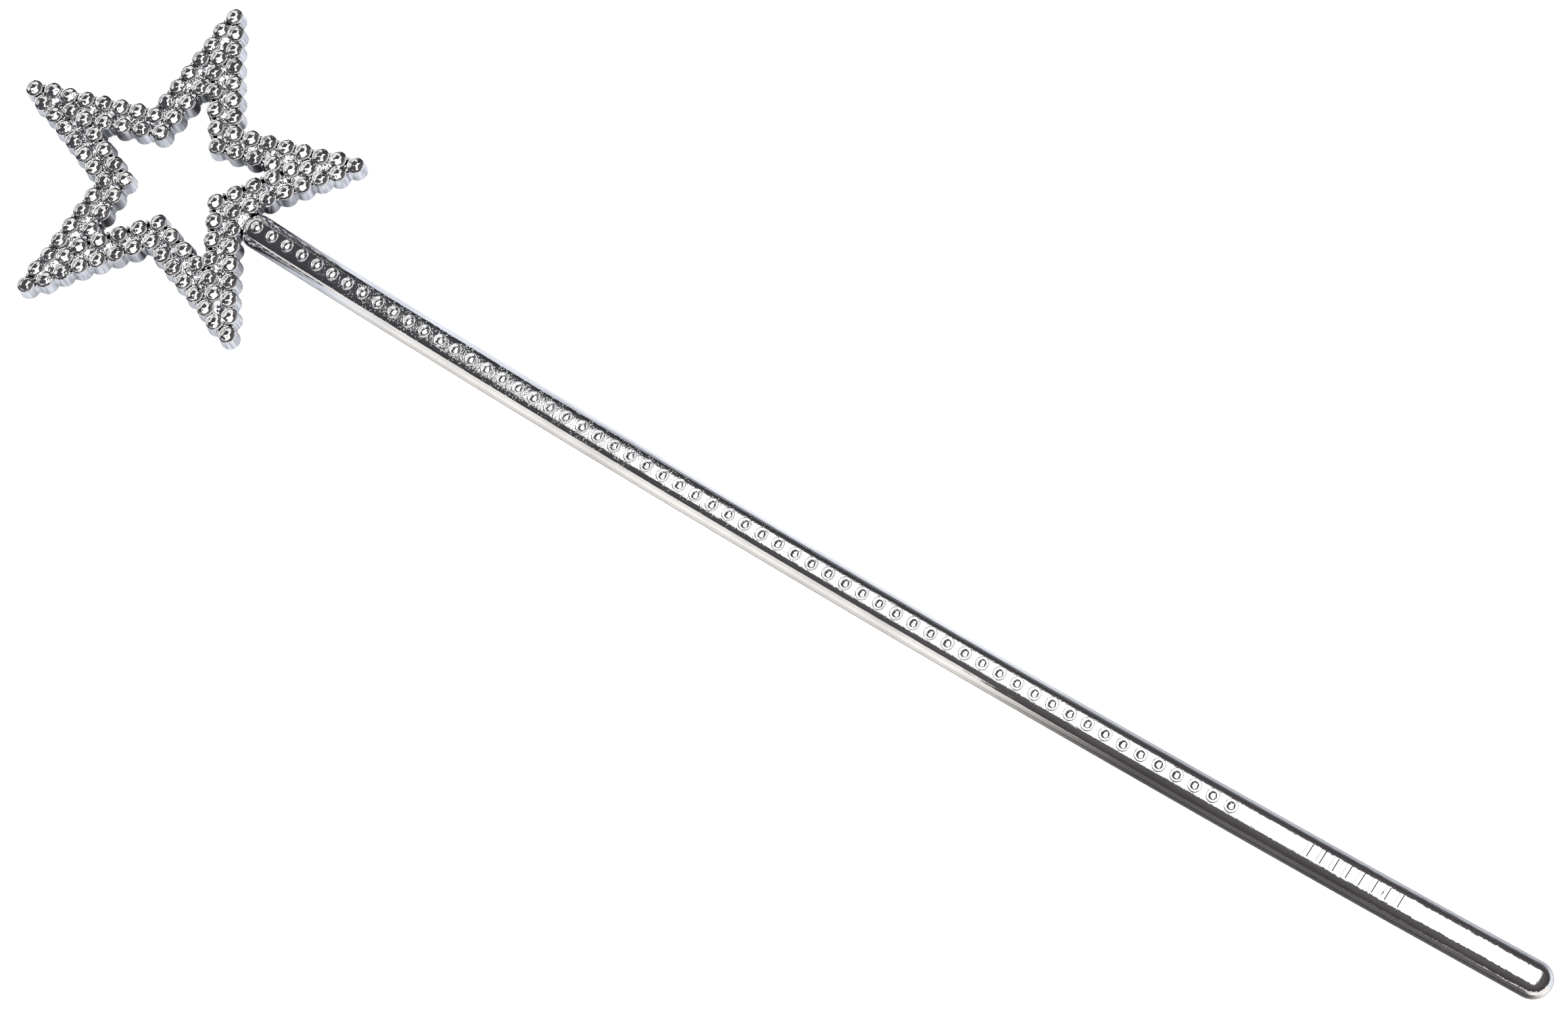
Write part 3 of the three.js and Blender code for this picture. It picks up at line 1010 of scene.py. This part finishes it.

# %% [markdown]
# ## Each piece takes its place
# Every detailed piece rides the same body as its CAD node, wears its finish, and hides the CAD node
# that it stands for.

# %% Give each piece its body and finish, and hide its CAD node
for piece, node, slot_name, finish in (
    (star_front, "star_front", "plated_front", star_finish),
    (rod_front, "rod_front", "plated_front", rod_finish),
    (star_back, "star_back", "plated_back", back_finish),
    (rod_back, "rod_back", "plated_back", rod_finish),
):
    piece.data.materials.clear()
    piece.data.materials.append(finish)
    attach(piece, "root")
    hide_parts(node)
    print(piece.name, "stands for", node)

# %% [markdown]
# ## The studio floor
# A mirror shows what is round it, so the studio is half of the finish. The camera sees a plain pale
# floor. In the silver, though, an evenly lit floor would give one flat grey, so for every other ray
# the paper carries painted reflections and painted shade. The painted reflection is cool by the star
# and on the rod's far side and warm on its near side. Painted shade darkens it where the wand shades
# it, round the handle, on the far side past the star, and along one narrow line beside the rod, which
# draws a fine dark line on the silver.

# %% Floor tones: painted reflections and painted shade
# Tones painted on the floor for the silver alone: warm and cool painted reflections, a dark tone for painted
# shade, and how deep each painted shade goes.
WARM_PAINTED_REFLECTION = (0.74, 0.72, 0.69)
COOL_PAINTED_REFLECTION = (0.63, 0.66, 0.72)
PAINTED_SHADE_TONE = (0.02, 0.019, 0.02)
PAINTED_SHADOW_REACH = 9 * MM
PAINTED_SHADOW_SAMPLES = 6
FAR_SHADE = 0.85
NEAR_HANDLE_SHADE = 0.82
HANDLE_SHADE = 0.45
LINE_SHADE = 0.4
HANDLE_LINE_SHADE = 0.5
LEAST_LIGHT = 0.25


def beside_rod(tree, place):
    """Distance along the wand from the rod's star end, and sideways from its bowed middle line."""
    axes = split(tree, place)
    along = math_node(tree, "SUBTRACT", axes["X"], rod_start)
    squared = math_node(tree, "POWER", math_node(tree, "MAXIMUM", along, 0.0), 2.0)
    bow = product(tree, squared, ROD_SWEEP / ROD_LENGTH**2)
    return along, math_node(tree, "SUBTRACT", axes["Y"], bow)


def painted_wand_shadow(tree):
    """Painted shadow of the wand on the floor: 1 where the wand leaves the paper open, 0 close under it."""
    shelter = tree.nodes.new("ShaderNodeAmbientOcclusion")
    shelter.samples = PAINTED_SHADOW_SAMPLES
    shelter.inputs["Distance"].default_value = PAINTED_SHADOW_REACH
    return between(tree, shelter.outputs["AO"], 0.3, 0.92)


def floor_shades(tree, along, side):
    """How much each painted shade of the floor takes away, from 0 to 1."""
    # Painted shade: round the handle, under it, on the far side past the star, and a fine line beside the
    # rod.
    handle = band(tree, along, 164 * MM, 209 * MM, ROD_LENGTH - 2 * MM, ROD_LENGTH + 8 * MM)
    under_handle = opposite(tree, between(tree, side, -6.5 * MM, -3 * MM))
    far_side = between(tree, side, 14 * MM, 40 * MM)
    past_star = between(tree, along, 39 * MM, 99 * MM)
    line = band(tree, side, -11 * MM, -10 * MM, -9 * MM, -8 * MM)
    by_rod = between(tree, along, 0.0, 20 * MM)
    line_depth = total(tree, product(tree, handle, HANDLE_LINE_SHADE), LINE_SHADE)
    return (
        product(tree, line, by_rod, line_depth),
        product(tree, far_side, past_star, FAR_SHADE),
        product(tree, handle, under_handle, NEAR_HANDLE_SHADE),
        product(tree, handle, HANDLE_SHADE),
    )


def painted_floor_tones(tree):
    """The floor's colour as the silver sees it: painted reflection tones darkened by painted shade."""
    place = tree.nodes.new("ShaderNodeTexCoord").outputs["Object"]
    along, side = beside_rod(tree, place)
    # The painted shadow of the wand and each painted shade darken the floor that the silver shows.
    light = total(tree, product(tree, painted_wand_shadow(tree), 1 - LEAST_LIGHT), LEAST_LIGHT)
    for shade in floor_shades(tree, along, side):
        light = product(tree, light, opposite(tree, shade))
    # Cool or warm painted reflection tone, by the rod's side and nearness to the star.
    by_star = opposite(tree, between(tree, along, 15 * MM, 35 * MM))
    cool = math_node(tree, "MAXIMUM", between(tree, side, -2 * MM, 2 * MM), by_star)
    return blend(tree, light, PAINTED_SHADE_TONE, blend(tree, cool, WARM_PAINTED_REFLECTION, COOL_PAINTED_REFLECTION))


# %% [markdown]
# ## Sheets of paper and card
# The floor and the cards are single faces. Each is marked as part of the stage, so that the size box
# leaves it out. Light Path tells the camera's own rays from all others, and for them the paper stays
# plain and glows a little.

# %% Lay the floor
WHITE_PAPER = (0.95, 0.95, 0.95)
PAPER_GLOW = 0.7
FLOOR_REACH = 2.0


def flat_sheet(name, corners, material):
    """One flat face, kept apart from the wand."""
    shape = bmesh.new()
    shape.faces.new([shape.verts.new(corner) for corner in corners])
    sheet = as_object(shape, name)
    sheet.data.materials.append(material)
    sheet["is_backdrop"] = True
    return sheet


def paper_with_painted_reflections():
    """Paper that is plain and pale to the camera, with painted reflections and painted shade for all else.
    """
    paper = bpy.data.materials.new("paper_with_painted_reflections")
    paper.use_nodes = True
    tree = paper.node_tree
    shader = tree.nodes["Principled BSDF"]
    shader.inputs["Roughness"].default_value = 1.0
    shader.inputs["Specular IOR Level"].default_value = 0.0
    shader.inputs["Emission Color"].default_value = (1.0, 1.0, 1.0, 1.0)
    seen = tree.nodes.new("ShaderNodeLightPath").outputs["Is Camera Ray"]
    # Camera rays see plain white paper; every other ray sees the painted reflection tones and painted shade.
    colour = blend(tree, seen, painted_floor_tones(tree), WHITE_PAPER)
    tree.links.new(colour, shader.inputs["Base Color"])
    tree.links.new(product(tree, seen, PAPER_GLOW), shader.inputs["Emission Strength"])
    return paper


signs = ((-1, -1), (1, -1), (1, 1), (-1, 1))
floor_corners = [(x * FLOOR_REACH, y * FLOOR_REACH, 0) for x, y in signs]
floor = flat_sheet("floor", floor_corners, paper_with_painted_reflections())
print(floor.name, 2 * FLOOR_REACH, "m wide")

# %% [markdown]
# ## Bright cards
# Three cards stand low round the wand, out of the camera's sight. The near one lights the rod's near
# edge. The left and corner ones are seen only by the steep flats of the stones, which is what makes
# the stones twinkle.

# %% Stand the cards
CARD_LIGHT = (1.0, 0.97, 0.92, 1.0)
CARD_STRENGTH = 0.95

glow = bpy.data.materials.new("card_glow")
glow.use_nodes = True
glow_shader = glow.node_tree.nodes["Principled BSDF"]
glow_shader.inputs["Base Color"].default_value = (0, 0, 0, 1)
glow_shader.inputs["Emission Color"].default_value = CARD_LIGHT
glow_shader.inputs["Emission Strength"].default_value = CARD_STRENGTH


def standing_card(name, first, second, low, high):
    """An upright card between two places on the floor, from low to high."""
    corners = [(*first, low), (*second, low), (*second, high), (*first, high)]
    card = flat_sheet(name, corners, glow)
    card.visible_camera = False
    return card


cards = [
    standing_card("near_card", (-0.95, -1.0), (-0.04, -1.0), 0.0, 0.3),
    standing_card("left_card", (-1.0, -0.5), (-1.0, 0.9), 0.1, 0.5),
    standing_card("corner_card", (-1.15, 1.0), (-0.62, 1.0), 0.1, 0.55),
]
print("cards:", [card.name for card in cards])

# %% [markdown]
# ## Lamps
# One big soft lamp hangs over the rod and leaves the ceiling on the star's side dark. Its mirror
# image has to stay below white, or the fine dark lines in it would be lost, so a second lamp just
# above it, hidden from reflections, gives the floor the rest of its light. A wide, weak lamp far
# above both keeps the floor's edges from falling dark.

# %% Hang the lamps
SOFTBOX_SIZE = (0.75, 1.29)
SOFTBOX_PLACE = (0.125, 0.205, 0.6)
SOFTBOX_RADIANCE = 1.75
SPILL_PLACE = (0.125, 0.205, 0.65)
SPILL_RADIANCE = 0.9
FILL_SIZE = (3.0, 3.0)
FILL_PLACE = (0.0, 0.0, 2.2)
FILL_RADIANCE = 0.9


def area_lamp(name, place, size, radiance, colour):
    """A rectangular lamp that faces straight down, as bright as radiance says."""
    lamp = bpy.data.lights.new(name, "AREA")
    lamp.shape = "RECTANGLE"
    lamp.size, lamp.size_y = size
    lamp.energy = radiance * math.pi * size[0] * size[1]
    lamp.color = colour
    hung = bpy.data.objects.new(name, lamp)
    hung.location = place
    hung.visible_camera = False
    bpy.context.scene.collection.objects.link(hung)
    return hung


softbox = area_lamp("softbox", SOFTBOX_PLACE, SOFTBOX_SIZE, SOFTBOX_RADIANCE, (1.0, 0.985, 0.96))
spill = area_lamp("spill", SPILL_PLACE, SOFTBOX_SIZE, SPILL_RADIANCE, (1.0, 0.99, 0.97))
fill = area_lamp("fill", FILL_PLACE, FILL_SIZE, FILL_RADIANCE, (1.0, 1.0, 1.0))
for hidden in (spill, fill):
    hidden.visible_glossy = False
print("lamps:", softbox.name, spill.name, fill.name)

# %% [markdown]
# ## The dark room
# What the silver shows between the lamp and the floor is the room itself. It is nearly black on the
# star's side, a little lighter on the handle's side, and darker low down than overhead.

# %% World
STAR_SIDE_ROOM = (0.066, 0.067, 0.074)
HANDLE_SIDE_ROOM = (0.12, 0.11, 0.115)

world = bpy.data.worlds.new("studio")
world.use_nodes = True
tree = world.node_tree
direction = tree.nodes.new("ShaderNodeTexCoord")
axes = split(tree, direction.outputs["Generated"])
towards_handle = between(tree, axes["X"], -0.35, -0.02)
room = blend(tree, towards_handle, STAR_SIDE_ROOM, HANDLE_SIDE_ROOM)
overhead = product(tree, between(tree, axes["Z"], 0.0, 0.7), 0.5)
background = tree.nodes["Background"]
tree.links.new(room, background.inputs["Color"])
tree.links.new(total(tree, overhead, 0.5), background.inputs["Strength"])
bpy.context.scene.world = world
bpy.context.scene.view_settings.view_transform = "Standard"
print("world:", world.name)

# %% [markdown]
# ## The camera
# The wand is seen from above the handle's near side, with the star at the upper left. The camera is
# set by the point it looks at, its distance, the direction back to it and the direction that is up
# in the view. These two and a third, square to both, are the columns of its rotation.

# %% Place the camera
CAMERA_DISTANCE = 0.5809
FOCAL_LENGTH = 68.85
NEAR_CLIP = 0.01

look_at = Vector((0.0064, 0.0094, flat_back))
back = Vector((0.2216, -0.2167, 0.9507)).normalized()
upward = Vector((-0.5156, 0.8015, 0.3029))
upward = (upward - back * upward.dot(back)).normalized()
turn = Matrix((upward.cross(back), upward, back)).transposed().to_4x4()
lens = bpy.data.cameras.new("camera")
lens.lens = FOCAL_LENGTH
lens.clip_start = NEAR_CLIP
camera = bpy.data.objects.new("camera", lens)
camera.matrix_world = Matrix.Translation(look_at + back * CAMERA_DISTANCE) @ turn
bpy.context.scene.collection.objects.link(camera)
bpy.context.scene.camera = camera
print("camera", CAMERA_DISTANCE, "m from the wand")

# %% [markdown]
# ## Sizes
# Detail must not make the wand bigger. The box round the finished pieces is written beside the CAD's
# box, so that the two can be compared at a glance.

# %% Sizes, and the last line
boxes = {"cad": [list(corner) for corner in cad_box], "visual": [list(corner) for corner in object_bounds()]}
for name, box in boxes.items():
    print(name, [round((high - low) / MM, 2) for low, high in zip(*box)], "mm")
